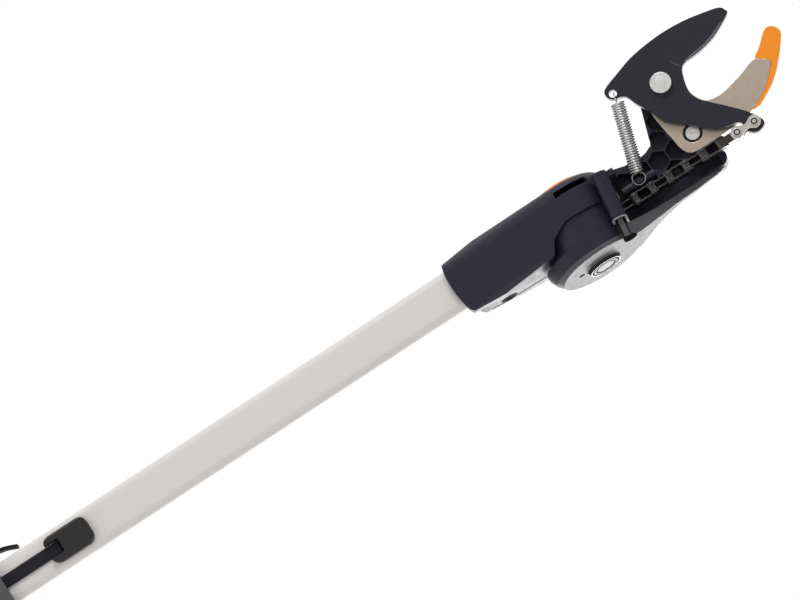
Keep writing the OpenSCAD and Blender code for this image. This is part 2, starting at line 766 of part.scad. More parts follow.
// Outline of the fixed hook plate
module hook_outline() {
    polygon(smooth([pivot + [21.8, 15.8], pivot + [25.3, 22.6], pivot + [25.2, 31.6], pivot + [21.9,
        45.6],
        pivot + [18.5, 56], pivot + [21, 61], pivot + [25.2, 65], pivot + [29, 62.5], pivot + [37.3,
            53.9],
        pivot + [42.8, 44.8], pivot + [46.1, 37], pivot + [48.2, 26], pivot + [48.6, 8], pivot + [48.4,
            -3.5],
        pivot + [46.8, -9], pivot + [42, -12], pivot + [34, -13.2], pivot + [12.8, -15.2], pivot + [0,
            -12],
        pivot + [-10, -5], pivot + [-10.4, 4], pivot + [-4, 10], pivot + [8, 10.5]]));
}
module hook_plate() {
    color("tan") at_swivel() difference() {
        along_y(hook_front, hook_back) hook_outline();
        bar_y(-30, 10, pivot_r, pivot[0], pivot[1]);
        bar_y(-30, 10, 2.5, hook_hold[0], hook_hold[1]);
        bar_y(-30, hook_front + 2, screw_head_r + 1.6, hook_hold[0], hook_hold[1]);
    }
}

// Orange tip that wraps the end and the back of the hook plate
module tip_outline() {
    polygon(smooth([pivot + [7.6, 78.7], pivot + [5.8, 74], pivot + [9.6, 68.6], pivot + [13.5, 64.5],
        pivot + [18.4, 57.8], pivot + [21.4, 61.4], pivot + [26.2, 64.8], pivot + [30.2, 61.2],
            pivot + [37.6, 52],
        pivot + [42.2, 44.8], pivot + [44.2, 43.4], pivot + [43.6, 46], pivot + [36.3, 59.1],
            pivot + [26.4, 69.8],
        pivot + [14.4, 79.6], pivot + [11, 80.3]]));
}
module hook_tip() {
    color("darkorange") at_swivel() difference() {
        along_y(hook_front, hook_back + tip_skin) tip_outline();
        along_y(hook_front - 1, hook_back) hook_outline();
    }
}

module pivot_bolt() {
    color("silver") at_swivel() difference() {
        union() {
            bar_y(blade_front - 0.4, frame_back + 3.4, pivot_r - 0.01, pivot[0], pivot[1]);
            bar_y(blade_front - 2.6, blade_front - 0.3, pivot_head_r, pivot[0], pivot[1]);
        }
        bar_y(blade_front - 4, blade_front - 2.1, pivot_head_r - 3, pivot[0], pivot[1]);
    }
}
module pivot_nut() {
    color("silver") at_swivel() difference() {
        translate([pivot[0], frame_back, pivot[1]]) rotate([-90, 0, 0]) cylinder(h = 3.2, r = 7.4,
            $fn = 6);
        bar_y(0, 40, pivot_r, pivot[0], pivot[1]);
    }
}
screw_socket_r = 1.3;
module hook_screw() {
    color("silver") at_swivel() difference() {
        union() {
            bar_y(hook_front + 0.1, hook_front + 1.3, screw_head_r, hook_hold[0], hook_hold[1]);
            bar_y(hook_front + 1, frame_back - 1, 2.45, hook_hold[0], hook_hold[1]);
        }
        bar_y(hook_front - 1, hook_front + 0.9, screw_socket_r, hook_hold[0], hook_hold[1]);
    }
}
module screw_ring() {
    color("black") at_swivel() difference() {
        bar_y(hook_front + 0.05, hook_front + 2, screw_head_r + 1.58, hook_hold[0], hook_hold[1]);
        bar_y(-30, hook_front + 1.3, screw_head_r + 0.02, hook_hold[0], hook_hold[1]);
        bar_y(-30, 30, 2.5, hook_hold[0], hook_hold[1]);
    }
}

// Rod on the bracket with a peg that holds the eye of the spring
post_low = eye_z - 12.6;
post_high = eye_z + 11;
post_y = -blade_y + post_r + wire_d / 2 + 0.3;
module spring_post() {
    color("black") at_swivel() {
        intersection() {
            translate([post_x, post_y, post_low]) cylinder(h = post_high - post_low, r = post_r);
            block([post_x - 10, post_y - 10, 0], [post_x + 10, frame_front, 2 * eye_z]);
        }
        bar_y(-blade_y - 1.6, post_y, peg_r, post_x, eye_z);
    }
}

// Lock pin with an end that is bent onto the disc
lock_from = barrel_from + 5;
tongue_in = (drum_right + 0.4 - barrel_x) / cos(barrel_lean);
tongue_t = 2;
tongue_w = 4.4;
tongue_reach = 9;
module lock_pin() {
    color("dimgray") at_swivel() on_barrel() {
        bar_x(lock_from, tongue_in + tongue_t, lock_r);
        block([tongue_in, -tongue_w / 2, -tongue_w / 2], [tongue_in + tongue_t, tongue_reach,
            tongue_w / 2]);
    }
}

// Cutting blade: jaw, spring ear and drive tail on one plate
module blade_outline() {
    polygon(smooth([pivot + [-14.4, 58.6], pivot + [-17.6, 59.2], pivot + [-20.9, 56.9],
        pivot + [-23.5, 48],
        pivot + [-26.5, 32.7], pivot + [-27.4, 15.3], pivot + [-25.4, -4.6], pivot + [-21.1, -19.3],
        ear + [-5.2, -2.5], ear + [-0.8, -4.5], ear + [3.6, -1.6], ear + [4.6, 2.8], ear + [7, 6.2],
        pivot + [2.3, -19.8], pivot + [12.9, -14.5], pivot + [19, -12.6], pivot + [24.6, -8.6],
            pivot + [33.3, 1.1],
        tail + [-13.6, -26.7], tail + [-7.9, -18.3], tail + [-4.8, -7.4], tail + [2.6, -6.4],
            tail + [6.6, -1],
        tail + [3.2, 5.4], tail + [-6.7, 1.1], tail + [-17.1, -7.3], pivot + [26.5, 18], pivot + [20.1,
            13.1],
        pivot + [12.3, 12], pivot + [3.1, 14.5], pivot + [-1.4, 16.9], pivot + [-3.3, 21.1],
            pivot + [-3.9, 30.5],
        pivot + [-6.7, 43.5]]));
}
ear_hole_r = 2.6;
module blade() {
    color("darkslategray") at_swivel() difference() {
        along_y(blade_front, blade_back) blade_outline();
        bar_y(-30, 10, pivot_r + fit, pivot[0], pivot[1]);
        bar_y(-30, 10, ear_hole_r, ear[0], ear[1]);
        bar_y(-30, 10, pin_r + fit, tail[0], tail[1]);
    }
}

// Height of one chain pin over the swivel axis
function pin_z(i) = chain_low + i * pitch;
// One chain plate between two pins, its thickness along X
module chain_plate(x, i) {
    along_x(x - plate_t / 2, x + plate_t / 2) difference() {
        union() {
            for (k = [i, i + 1]) translate([-blade_y, pin_z(k)]) circle(plate_h / 2);
            translate([-blade_y - plate_h / 2 + 1, pin_z(i)]) square([plate_h - 2, pitch]);
        }
        for (k = [i, i + 1]) translate([-blade_y, pin_z(k)]) circle(pin_r);
    }
}
module chain_outer_plates() {
    color("dimgray") at_swivel() for (i = [1, 3, 5], s = [-1, 1])
        chain_plate(chain_x + s * (outer_w - plate_t) / 2, i);
}
module chain_inner_plates() {
    color("dimgray") at_swivel() for (i = [2, 4], s = [-1, 1])
        chain_plate(chain_x + s * (inner_w - plate_t) / 2, i);
}
module chain_anchor() {
    color("dimgray") at_swivel() for (s = [-1, 1]) chain_plate(chain_x + s * (inner_w - plate_t) / 2, 0);
}
module chain_rollers() {
    color("gray") at_swivel() for (i = [0:5]) difference() {
        bar_x(chain_x - chain_in_w / 2, chain_x + chain_in_w / 2, roller_r, -blade_y, pin_z(i));
        bar_x(0, 60, pin_r, -blade_y, pin_z(i));
    }
}
module chain_pins() {
    color("silver") at_swivel() for (i = [0:6]) {
        w = i == 0 ? inner_w + 0.4 : pin_w;
        bar_x(chain_x - w / 2, chain_x + w / 2, pin_r - 0.01, -blade_y, pin_z(i));
    }
}
// Twisted piece that turns the last pin by a quarter turn
module chain_yoke() {
    color("gray") at_swivel() difference() {
        union() {
            bar_x(chain_x - inner_w / 2, chain_x + inner_w / 2, roller_r, -blade_y, pin_z(6));
            block([chain_x - inner_w / 2, -blade_y - blade_t / 2, pin_z(6)],
                [chain_x + inner_w / 2, -blade_y + blade_t / 2, yoke[1]]);
            bar_y(-blade_y - blade_t / 2, -blade_y + blade_t / 2, roller_r, yoke[0], yoke[1]);
        }
        bar_x(0, 60, pin_r, -blade_y, pin_z(6));
        bar_y(-40, 10, pin_r, yoke[0], yoke[1]);
    }
}
link_gap = 0.25;
waist_w = plate_h * 0.66;
link_half = blade_t / 2 + link_gap + plate_t;
module end_link_plates() {
    color("silver") at_swivel() for (y = [-blade_y - link_half, -blade_y + link_half - plate_t])
        along_y(y, y + plate_t) difference() {
            union() {
                for (p = [yoke, tail]) translate(p) circle(plate_h / 2);
                translate(yoke - [waist_w / 2, 0]) square([waist_w, pitch]);
            }
            for (p = [yoke, tail]) translate(p) circle(pin_r);
        }
}
module end_link_pins() {
    color("silver") at_swivel() for (p = [yoke, tail]) {
        bar_y(-blade_y - link_half - 0.3, -blade_y + link_half + 0.2, pin_r - 0.01, p[0], p[1]);
        bar_y(-blade_y - link_half - 0.7, -blade_y - link_half, pin_r + 0.8, p[0], p[1]);
    }
}

// The spring's own frame: X runs from the eye to the ear
module on_spring() { translate([spring_from[0], -blade_y, spring_from[1]]) rotate([0, -spring_turn, 0])
    children(); }
// Ring of wire with its centre on the spring's axis, square to the jaws or flat in their plane
module wire_ring(x, r, flat) {
    translate([x, 0, 0]) rotate([flat ? 90 : 0, 0, 0]) rotate_extrude() translate([r, 0])
        circle(wire_r, $fn = 16);
}
eye_r = 4.2;
eye_x = eye_r - wire_r - peg_r - 0.1;
hook_r = 3.2;
coil_from = eye_x + eye_r - 0.65;
coil_to = spring_len - 2 * hook_r - 1.3;
// Slanted wire from the spring's hook out to the end of the coil
module wire_lead() {
    lead = [spring_len - 2 * hook_r - coil_to - wire_d - 0.1, coil_r];
    translate([spring_len - 2 * hook_r, 0, 0]) rotate([0, 0, 180 - atan2(lead[1], lead[0])])
        bar_x(0, norm(lead), wire_r);
}
module spring_eye() { color("silver") at_swivel() on_spring() wire_ring(eye_x, eye_r, true); }
module spring_hook() {
    color("silver") at_swivel() on_spring() {
        wire_ring(spring_len - hook_r, hook_r, false);
        wire_lead();
    }
}

// Coil as one unbroken tube of wire
curl_steps = 8;
wire_sides = 6;
coil_rise = (coil_to - coil_from) / curls;
function coil_point(i) = let (a = i * 360 / curl_steps)
    [coil_from + coil_rise * i / curl_steps, coil_r * cos(a), coil_r * sin(a)];
coil_path = [for (i = [0:curls * curl_steps]) coil_point(i)];
coil_gap = min([for (i = [0:curl_steps * 2], j = [i + curl_steps / 2:i + curl_steps * 2])
    norm(coil_path[j] - coil_path[i])]) - wire_d;
echo(least_gap_between_spring_curls = coil_gap);
module spring_coil() {
    n = len(coil_path);
    points = [for (i = [0:n - 1], k = [0:wire_sides - 1]) let (a = i * 360 / curl_steps, b =
        k * 360 / wire_sides)
        coil_path[i] + wire_r * (cos(b) * [0, cos(a), sin(a)] + sin(b) * [1, 0, 0])];
    sides = [for (i = [0:n - 2], k = [0:wire_sides - 1]) let (m = (k + 1) % wire_sides, p =
        i * wire_sides)
        each [[p + k, p + m, p + wire_sides + m], [p + k, p + wire_sides + m, p + wire_sides + k]]];
    first = [for (k = [1:wire_sides - 2]) [0, k + 1, k]];
    base = (n - 1) * wire_sides;
    last = [for (k = [1:wire_sides - 2]) [base, base + k, base + k + 1]];
    color("silver") at_swivel() on_spring() polyhedron(points, concat(sides, first, last));
}

pole_tube();
housing_core();
housing_front();
housing_rear();
housing_screws();
cover_screws();
axle_bolt();
axle_nut();
strap_guide();
low_strap_guide();
guide_rivets();
strap_inner();
pole_plug();
lock_button();
winding_drum();
head_frame();
drum_cover();
hook_plate();
hook_tip();
pivot_bolt();
pivot_nut();
hook_screw();
screw_ring();
spring_post();
lock_pin();
blade();
chain_anchor();
chain_outer_plates();
chain_inner_plates();
chain_rollers();
chain_pins();
chain_yoke();
end_link_plates();
end_link_pins();
spring_eye();
spring_coil();
spring_hook();
grip_core();
grip_sleeve();
grip_screws();
grip_tail();
strap_outer();
low_strap_outer();
pull_knob();
knob_stem();
low_strap_inner();
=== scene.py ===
"""Looks of the long-reach tree pruner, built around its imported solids."""
import json
import math

import bmesh
import bpy
from mathutils import Matrix, Vector


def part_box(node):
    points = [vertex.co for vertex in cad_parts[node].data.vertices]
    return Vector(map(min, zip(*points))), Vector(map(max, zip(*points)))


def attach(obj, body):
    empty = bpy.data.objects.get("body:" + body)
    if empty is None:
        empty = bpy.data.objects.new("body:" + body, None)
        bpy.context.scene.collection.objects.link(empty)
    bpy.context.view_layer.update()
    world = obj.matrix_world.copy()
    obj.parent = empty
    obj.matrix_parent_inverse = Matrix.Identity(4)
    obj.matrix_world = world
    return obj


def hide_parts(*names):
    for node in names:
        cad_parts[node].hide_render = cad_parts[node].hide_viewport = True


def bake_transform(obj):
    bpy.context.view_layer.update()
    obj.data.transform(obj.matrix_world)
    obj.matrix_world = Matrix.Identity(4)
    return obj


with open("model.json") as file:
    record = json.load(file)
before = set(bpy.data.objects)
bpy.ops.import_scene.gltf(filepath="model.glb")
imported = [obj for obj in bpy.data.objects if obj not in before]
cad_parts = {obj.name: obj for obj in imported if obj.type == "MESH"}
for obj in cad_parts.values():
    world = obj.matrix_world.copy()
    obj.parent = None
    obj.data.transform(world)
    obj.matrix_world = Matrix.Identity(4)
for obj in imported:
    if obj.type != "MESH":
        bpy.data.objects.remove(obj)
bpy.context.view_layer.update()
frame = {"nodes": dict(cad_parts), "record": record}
nodes = frame["nodes"]
slot_of = {s["node"]: s["material_slot"] for s in frame["record"]["subparts"]}
scene = bpy.context.scene
scene.view_settings.view_transform = "Standard"

MM = 0.001
SWIVEL_Z = 1408 * MM
FRONT = Vector((0, -1, 0))
BACK = Vector((0, 1, 0))
RIGHT = Vector((1, 0, 0))
UP = Vector((0, 0, 1))


def from_swivel(x, y, z):
    """Place given in millimetres from the middle of the swivel."""
    return Vector((x, y, z)) * MM + UP * SWIVEL_Z


# Camera: nearly square to the front, rolled so that the pole runs up to the right
TURN = math.radians(16)
ROLL = math.radians(33.2)
DISTANCE = 3.0
VIEW_W = 0.5008
SENSOR_W = 36
CLIP_END = 50
AIM_SIDE = -15.8 * MM
AIM_Z = 1289 * MM
view_side = Vector((math.cos(TURN), math.sin(TURN), 0))
view_back = Vector((math.sin(TURN), -math.cos(TURN), 0))
view_right = math.cos(ROLL) * UP + math.sin(ROLL) * view_side
view_up = math.sin(ROLL) * UP - math.cos(ROLL) * view_side
camera_data = bpy.data.cameras.new("camera")
camera_data.sensor_width = SENSOR_W
camera_data.lens = SENSOR_W * DISTANCE / VIEW_W
camera_data.clip_end = CLIP_END
camera = bpy.data.objects.new("camera", camera_data)
camera.matrix_world = Matrix((view_right, view_up, view_back)).transposed().to_4x4()
camera.matrix_world.translation = view_side * AIM_SIDE + UP * AIM_Z + view_back * DISTANCE
scene.collection.objects.link(camera)
scene.camera = camera


# Materials
looks = {}


class Shader:
    """A Principled material, kept in looks by its name, and short ways to add nodes to it."""

    def __init__(self, name, base, rough, metal=0.0, specular=0.5):
        material = bpy.data.materials.new(name)
        material.use_nodes = True
        looks[name] = material
        self.tree = material.node_tree
        self.bsdf = self.tree.nodes["Principled BSDF"]
        self.base = base
        self.bsdf.inputs["Base Color"].default_value = (*base, 1)
        self.bsdf.inputs["Roughness"].default_value = rough
        self.bsdf.inputs["Metallic"].default_value = metal
        self.bsdf.inputs["Specular IOR Level"].default_value = specular
        self.rough = rough
        self.place = self.node("ShaderNodeTexCoord").outputs["Object"]
        self.last_bump = None

    def node(self, kind, **values):
        made = self.tree.nodes.new(kind)
        for key, value in values.items():
            setattr(made, key, value)
        return made

    def link(self, a, b):
        self.tree.links.new(a, b)

    def stretched(self, scale):
        mapping = self.node("ShaderNodeMapping")
        mapping.inputs["Scale"].default_value = scale
        self.link(self.place, mapping.inputs["Vector"])
        return mapping.outputs["Vector"]

    def noise(self, scale, detail, stretch=(1, 1, 1)):
        noise = self.node("ShaderNodeTexNoise")
        noise.inputs["Scale"].default_value = scale
        noise.inputs["Detail"].default_value = detail
        self.link(self.stretched(stretch), noise.inputs["Vector"])
        return noise.outputs["Fac"]

    def vary(self, value, amount):
        """Base colour shifts a little up and down with a value from 0 to 1."""
        mix = self.node("ShaderNodeMix", data_type="RGBA")
        mix.inputs["A"].default_value = (*[c * (1 - amount) for c in self.base], 1)
        mix.inputs["B"].default_value = (*[min(1, c * (1 + amount)) for c in self.base], 1)
        self.link(value, mix.inputs["Factor"])
        self.link(mix.outputs["Result"], self.bsdf.inputs["Base Color"])

    def roughen(self, value, amount):
        """Roughness goes up and down with the middle part of a noise."""
        limits = self.node("ShaderNodeMapRange")
        limits.inputs["From Min"].default_value = NOISE_LOW
        limits.inputs["From Max"].default_value = NOISE_HIGH
        limits.inputs["To Min"].default_value = self.rough - amount
        limits.inputs["To Max"].default_value = self.rough + amount
        self.link(value, limits.inputs["Value"])
        self.link(limits.outputs["Result"], self.bsdf.inputs["Roughness"])

    def bump(self, value, height):
        """Height on top of the bumps that are there already."""
        bump = self.node("ShaderNodeBump")
        bump.inputs["Distance"].default_value = height
        bump.inputs["Strength"].default_value = 1.0
        self.link(value, bump.inputs["Height"])
        if self.last_bump:
            self.link(self.last_bump, bump.inputs["Normal"])
        self.last_bump = bump.outputs["Normal"]
        self.link(self.last_bump, self.bsdf.inputs["Normal"])


# Scales of the noise, and how far it shifts a colour, a gloss or a height
NOISE_LOW = 0.3
NOISE_HIGH = 0.7
PLASTIC_CLOUDS = 60
PLASTIC_SHIFT = 0.06
PLASTIC_SHEEN = 220
PLASTIC_GLOSS = 0.04
STEEL_CLOUDS = 45
STEEL_GLOSS = 0.05
# A wave texture of scale 1 turns through this many radians in a metre
WAVE_TURN = 20
WEAVE_HEIGHT = 0.12 * MM
WEAVE_WANDER = 0.3
WEAVE_FUZZ = 300
WEAVE_SHIFT = 0.25


def plastic(name, base, rough=0.5, specular=0.35, grain=1400, grain_height=0.000014, metal=0.0):
    """Moulded plastic: clouded colour, uneven gloss and a fine grain."""
    shader = Shader(name, base, rough, metal, specular)
    shader.vary(shader.noise(PLASTIC_CLOUDS, detail=4), PLASTIC_SHIFT)
    shader.roughen(shader.noise(PLASTIC_SHEEN, detail=3), PLASTIC_GLOSS)
    shader.bump(shader.noise(grain, detail=2), grain_height)


def steel(name, base, rough=0.3, stretch=(1, 1, 1), brushed=900, height=0.000003, vary=0.04, metal=1.0):
    """Metal: brushing lines that may be stretched one way, and clouded colour."""
    shader = Shader(name, base, rough, metal)
    lines = shader.noise(brushed, detail=2, stretch=stretch)
    shader.vary(shader.noise(STEEL_CLOUDS, detail=4), vary)
    shader.roughen(lines, STEEL_GLOSS)
    shader.bump(lines, height)


def woven(name, base, rough, pitch_along, pitch_across):
    """Webbing: ribs across the strap and warp threads along it."""
    shader = Shader(name, base, rough, specular=0.2)
    for axis, pitch in (("Z", pitch_along), ("X", pitch_across)):
        wave = shader.node("ShaderNodeTexWave", wave_type="BANDS", bands_direction=axis)
        wave.inputs["Scale"].default_value = math.tau / (WAVE_TURN * pitch)
        wave.inputs["Distortion"].default_value = WEAVE_WANDER
        shader.link(shader.place, wave.inputs["Vector"])
        shader.bump(wave.outputs["Fac"], WEAVE_HEIGHT)
    shader.vary(shader.noise(WEAVE_FUZZ, detail=3), WEAVE_SHIFT)


steel("pole_alloy", (0.74, 0.712, 0.692), rough=0.45, stretch=(1, 1, 0.02), brushed=1600, height=0.000004,
    vary=0.015, metal=0.05)
steel("bright_steel", (0.97, 0.96, 0.94), rough=0.36, height=0.0000006, vary=0.02)
steel("hook_steel", (0.66, 0.55, 0.445), rough=0.38, stretch=(0.15, 1, 1), brushed=1300)
steel("chain_steel", (0.10, 0.094, 0.09), rough=0.28, vary=0.15)
steel("link_steel", (0.66, 0.63, 0.60), rough=0.38, vary=0.06, metal=0.7)
steel("spring_steel", (0.52, 0.51, 0.51), rough=0.3, height=0.0000006)
steel("ground_edge", (0.30, 0.29, 0.29), rough=0.3, stretch=(1, 1, 0.1), brushed=1500)
plastic("black_plastic", (0.0155, 0.0135, 0.0265), rough=0.44)
plastic("dark_plastic", (0.085, 0.084, 0.092), rough=0.48)
plastic("guide_plastic", (0.0215, 0.0195, 0.0195), rough=0.44)
plastic("orange_plastic", (1.0, 0.27, 0.014), rough=0.55, specular=0.15, grain=900, grain_height=0.000008)
plastic("tip_orange", (1.0, 0.305, 0.034), rough=0.7, specular=0.0, grain=900, grain_height=0.000006)
plastic("soft_grip", (0.85, 0.22, 0.02), rough=0.62, specular=0.3, grain=2200, grain_height=0.00006)
plastic("nylon", (0.05, 0.05, 0.055), rough=0.4)
# Pale metal: the real ring at the lock barrel's end, and a painted highlight on the swivel collar's rim
plastic("pale_metal", (0.42, 0.42, 0.43), rough=0.4, specular=0.5, grain=900, grain_height=0.000004,
    metal=0.4)
plastic("blade_coat", (0.0115, 0.0105, 0.0185), rough=0.45, specular=0.4, grain=700, grain_height=0.000006)
plastic("ring_rubber", (0.01, 0.01, 0.01), rough=0.6, specular=0.3)
plastic("bolt_face", (0.05, 0.05, 0.052), rough=0.4, specular=0.45, grain=900, grain_height=0.000004)
# Matt copy of the black plastic: paints shade on the swivel collar's skirt, where the disc's plastic would
# catch reflections
plastic("painted_shade_matt_black", (0.03, 0.03, 0.033), rough=0.75, specular=0.12)
# Near-black that paints shade in gaps, holes, recesses and on round sides; also the plain black of the lock
# pin's shoe
plastic("black_and_painted_shade", (0.006, 0.006, 0.007), rough=0.85, specular=0.08)
plastic("floor", (0.8, 0.8, 0.79), rough=0.7, specular=0.2, grain=40, grain_height=0.0002)
woven("webbing", (0.0165, 0.0145, 0.0205), rough=0.75, pitch_along=0.0011, pitch_across=0.0014)

# Shading by angle, as a modifier so that the solids stay as they are
SMOOTH_BELOW = math.radians(32)
smooth_group = bpy.data.node_groups.new("smooth_by_angle", "GeometryNodeTree")
smooth_group.interface.new_socket("Geometry", in_out="INPUT", socket_type="NodeSocketGeometry")
smooth_group.interface.new_socket("Geometry", in_out="OUTPUT", socket_type="NodeSocketGeometry")
group_in = smooth_group.nodes.new("NodeGroupInput")
group_out = smooth_group.nodes.new("NodeGroupOutput")
edge_angle = smooth_group.nodes.new("GeometryNodeInputMeshEdgeAngle")
is_flat = smooth_group.nodes.new("FunctionNodeCompare")
is_flat.operation = "LESS_THAN"
is_flat.inputs[1].default_value = SMOOTH_BELOW
smooth_faces = smooth_group.nodes.new("GeometryNodeSetShadeSmooth")
smooth_faces.domain = "FACE"
smooth_edges = smooth_group.nodes.new("GeometryNodeSetShadeSmooth")
smooth_edges.domain = "EDGE"
no_normals = smooth_group.nodes.new("GeometryNodeRemoveAttribute")
no_normals.inputs["Name"].default_value = "custom_normal"
links = smooth_group.links
links.new(group_in.outputs[0], no_normals.inputs["Geometry"])
links.new(no_normals.outputs["Geometry"], smooth_faces.inputs["Geometry"])
links.new(smooth_faces.outputs["Geometry"], smooth_edges.inputs["Geometry"])
links.new(edge_angle.outputs["Unsigned Angle"], is_flat.inputs[0])
links.new(is_flat.outputs["Result"], smooth_edges.inputs["Shade Smooth"])
links.new(smooth_edges.outputs["Geometry"], group_out.inputs[0])


def crisp(obj):
    """Shading by angle for an object with hard edges."""
    shade = obj.modifiers.new("shade", "NODES")
    shade.node_group = smooth_group
    return obj


WELD_GAP = 0.002 * MM
FLAT_BELOW = math.radians(0.5)
BEVEL_FROM = math.radians(33)
BEVEL_SEGMENTS = 2


def dress(obj, look, bevel):
    """Material, welded and bevelled edges and shading by angle for one solid."""
    obj.data.materials.clear()
    obj.data.materials.append(looks[look])
    weld = obj.modifiers.new("weld", "WELD")
    weld.merge_threshold = WELD_GAP
    flat = obj.modifiers.new("flat", "DECIMATE")
    flat.decimate_type = "DISSOLVE"
    flat.angle_limit = FLAT_BELOW
    if bevel:
        edges = obj.modifiers.new("edges", "BEVEL")
        edges.width = bevel
        edges.segments = BEVEL_SEGMENTS
        edges.limit_method = "ANGLE"
        edges.angle_limit = BEVEL_FROM
        edges.use_clamp_overlap = True
    crisp(obj)
    if bevel:
        weighted = obj.modifiers.new("weighted", "WEIGHTED_NORMAL")
        weighted.keep_sharp = True


BEVEL = 0.3 * MM
bevels = {}
for width, names in (
        (0, ("pole_tube", "hook_tip", "spring_eye", "spring_coil", "spring_hook")),
        (0.2 * MM, ("housing_rear", "housing_core", "chain_rollers", "chain_pins", "chain_outer_plates",
            "chain_inner_plates", "chain_anchor", "end_link_plates")),
        (0.4 * MM, ("housing_front", "drum_cover", "head_frame", "blade", "hook_plate")),
        (0.5 * MM, ("lock_button", "pivot_bolt")),
        (0.6 * MM, ("pull_knob",))):
    bevels.update(dict.fromkeys(names, width))
own_looks = {
    "chain_yoke": "chain_steel",
    "hook_tip": "tip_orange",
    "end_link_plates": "link_steel",
    "end_link_pins": "link_steel",
    "lock_pin": "dark_plastic",
    "axle_bolt": "bolt_face",
    "strap_guide": "guide_plastic",
    "low_strap_guide": "guide_plastic",
    # The housing's screw heads in near-black: painted shade of their recesses
    "housing_screws": "black_and_painted_shade",
}
for name, obj in nodes.items():
    dress(obj, own_looks.get(name, slot_of[name]), bevels.get(name, BEVEL))


# Ways to make pieces of their own
def add_mesh(name, points, faces, look):
    mesh = bpy.data.meshes.new(name)
    mesh.from_pydata(points, [], faces)
    shape = bmesh.new()
    shape.from_mesh(mesh)
    bmesh.ops.recalc_face_normals(shape, faces=shape.faces)
    shape.to_mesh(mesh)
    shape.free()
    mesh.polygons.foreach_set("use_smooth", [True] * len(faces))
    mesh.materials.append(looks[look])
    obj = bpy.data.objects.new(name, mesh)
    scene.collection.objects.link(obj)
    return obj


def lofted(name, rings, look):
    """Closed skin over rings of the same number of points."""
    n = len(rings[0])
    points = [p for ring in rings for p in ring]
    faces = [(i * n + k, i * n + (k + 1) % n, (i + 1) * n + (k + 1) % n, (i + 1) * n + k)
        for i in range(len(rings) - 1) for k in range(n)]
    faces.append(tuple(range(n))[::-1])
    faces.append(tuple(range((len(rings) - 1) * n, len(rings) * n)))
    return add_mesh(name, points, faces, look)


def between(a, b, count):
    return [a + (b - a) * i / count for i in range(count + 1)]


def circle(centre, a, b, radius, count):
    """Ring of points about a centre, from direction a towards direction b."""
    turns = [math.tau * i / count for i in range(count)]
    return [centre + radius * (math.cos(t) * a + math.sin(t) * b) for t in turns]


def heading(path, i):
    """Direction of a path at one of its points, not scaled."""
    return path[min(i + 1, len(path) - 1)] - path[max(i - 1, 0)]


# Spring: a round wire wound from its eye, leaning forward at the top to pass in front of the blade
WIRE_R = 0.72 * MM
COIL_R = 3.98 * MM
CURLS = 28
CURL_STEPS = 20
WIRE_SIDES = 12
EYE_GAP = 5.2 * MM
EAR_GAP = 7.7 * MM
COIL_LEAN = Vector((1.0, -6.9, 0.3)) * MM
spring_start = from_swivel(7, -10.8, 46.7)
spring_end = from_swivel(-49.4, -10.8, 63.9)
spring_axis = (spring_end - spring_start).normalized()
coil_start = spring_start + spring_axis * EYE_GAP
coil_end = spring_end - spring_axis * EAR_GAP + COIL_LEAN
coil_axis = (coil_end - coil_start).normalized()
coil_side = coil_axis.cross(BACK).normalized()
coil_back = coil_side.cross(coil_axis)
coil_steps = CURLS * CURL_STEPS
rings = []
for i in range(coil_steps + 1):
    turn = math.tau * i / CURL_STEPS
    out = math.cos(turn) * coil_back + math.sin(turn) * coil_side
    coil_tip = coil_start.lerp(coil_end, i / coil_steps) + out * COIL_R
    rings.append(circle(coil_tip, out, coil_axis, WIRE_R, WIRE_SIDES))
coil = lofted("coil_wire", rings, "spring_steel")
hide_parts("spring_coil")
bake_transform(coil)

# Its hook: from the end of the coil up the front of the blade, through the ear and back down behind
HOOK_R = 3.2 * MM
HOOK_WIRE_R = 0.55 * MM
HOOK_TURN = math.radians(240)
HOOK_STEPS = 28
LEAD_BEND = 0.4
hook_centre = spring_end - spring_axis * HOOK_R
hook_front = hook_centre + FRONT * HOOK_R
path = [coil_tip - coil_axis * WIRE_R, coil_tip.lerp(hook_front, LEAD_BEND)]
path += [hook_centre + HOOK_R * (math.sin(a) * spring_axis + math.cos(a) * FRONT)
    for a in between(0, HOOK_TURN, HOOK_STEPS)]
hook_side = spring_axis.cross(FRONT)
rings = []
for i, point in enumerate(path):
    along = heading(path, i).normalized()
    across = (hook_side - along * hook_side.dot(along)).normalized()
    rings.append(circle(point, across, along.cross(across), HOOK_WIRE_R, WIRE_SIDES))
wire = lofted("hook_wire", rings, "spring_steel")
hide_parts("spring_hook")
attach(wire, "spring_top")

# Straps: woven ribbons with rolled edges
ROLL_STEPS = 6
STRAP_STEP = 2 * MM


def ribbon(name, node, path, across, width, thick):
    """Ribbon along a path of points, its width along one direction."""
    half = width / 2
    roll = thick / 2
    section = [(s * (half - roll + roll * math.sin(a)), s * roll * math.cos(a))
        for s in (1, -1) for a in between(0, math.pi, ROLL_STEPS)]
    rings = []
    for i, point in enumerate(path):
        out = heading(path, i).cross(across).normalized()
        rings.append([point + across * x + out * t for x, t in section])
    obj = lofted(name, rings, "webbing")
    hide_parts(node)
    return obj


def straight(node):
    """Ribbon in place of a straight upright strap, and its two ends."""
    low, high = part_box(node)
    y = (low[1] + high[1]) / 2
    steps = int((high[2] - low[2]) / STRAP_STEP)
    path = [Vector((0, y, z)) for z in between(low[2], high[2], steps)]
    obj = ribbon(node + "_web", node, path, RIGHT, high[0] - low[0], high[1] - low[1])
    return obj, path[0], path[-1]


web, low_end, high_end = straight("strap_outer")
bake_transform(web)
web, low_end, high_end = straight("low_strap_outer")
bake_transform(web)
web, low_end, high_end = straight("low_strap_inner")
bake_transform(web)

